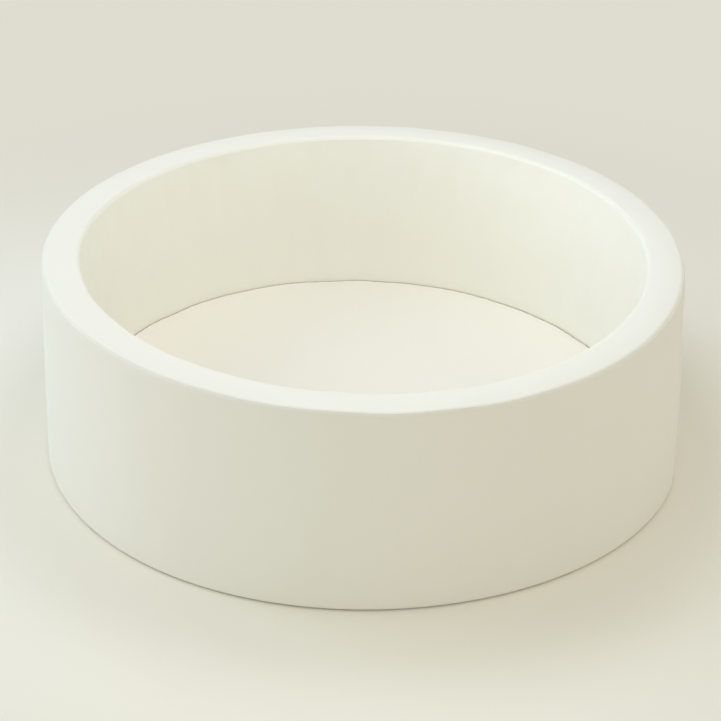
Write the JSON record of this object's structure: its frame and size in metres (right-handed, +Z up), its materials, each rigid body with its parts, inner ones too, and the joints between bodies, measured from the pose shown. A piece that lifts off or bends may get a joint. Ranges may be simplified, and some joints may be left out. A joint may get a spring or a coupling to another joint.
{
  "type": "ball pit",
  "caption": "Round padded foam ring in a zipped leatherette cover, with a lift-out crowned floor mat, standing on its flat underside.",
  "frame": {"origin": "centre of the underside, on the floor", "axes": "+Z up, the side that faces the viewer in the picture towards -Y, the zips towards +Y"},
  "size_m": [0.9, 0.9, 0.3],
  "materials": {
    "wall_leatherette": "matte cream polyurethane leather with a very fine grain",
    "mat_leatherette": "matte cream polyurethane leather with a very fine grain",
    "underside_cloth": "pale woven backing cloth with anti-slip dots",
    "foam": "open-cell off-white foam",
    "zip_tape": "ivory woven polyester tape",
    "zip_teeth": "ivory moulded plastic",
    "lacquered_slider": "ivory lacquer on cast metal, satin"
  },
  "bodies": {
    "wall": {"outer_panel": "wall_leatherette", "rim_panel": "wall_leatherette", "inner_panel": "wall_leatherette", "base_panel": "underside_cloth", "foam_wall_front": "foam", "foam_wall_back": "foam", "wall_zip_tape_upper": "zip_tape", "wall_zip_tape_lower": "zip_tape", "wall_zip_row_upper": "zip_teeth", "wall_zip_row_lower": "zip_teeth", "wall_zip_stop_closed_end": "zip_teeth", "wall_zip_stop_open_end": "zip_teeth"},
    "wall_slider": {"wall_zip_slider": "lacquered_slider"},
    "wall_pull": {"wall_zip_pull": "lacquered_slider"},
    "mat": {"mat_foam": "foam", "mat_top_panel": "mat_leatherette", "mat_gusset": "mat_leatherette", "mat_bottom_panel": "underside_cloth", "mat_zip_tape_upper": "zip_tape", "mat_zip_tape_lower": "zip_tape", "mat_zip_row_upper": "zip_teeth", "mat_zip_row_lower": "zip_teeth", "mat_zip_stop_closed_end": "zip_teeth", "mat_zip_stop_open_end": "zip_teeth"},
    "mat_slider": {"mat_zip_slider": "lacquered_slider"}
  },
  "joints": [
    {"name": "wall_zip_travel", "type": "hinge", "parent": "wall", "child": "wall_slider", "pos_m": [0, 0, 0.02998], "axis": [0, 0, 1], "range_deg": [0, 129.6]},
    {"name": "wall_pull_swing", "type": "hinge", "parent": "wall_slider", "child": "wall_pull", "pos_m": [0.40884, 0.19218, 0.02998], "axis": [0, 0, -1], "range_deg": [0, 180]},
    {"name": "mat_lift", "type": "slide", "parent": "wall", "child": "mat", "axis": [0, 0, 1], "range_m": [0, 0.31]},
    {"name": "mat_zip_travel", "type": "hinge", "parent": "mat", "child": "mat_slider", "pos_m": [0, 0, 0.0265], "axis": [0, 0, 1], "range_deg": [0, 111.3]}
  ]
}
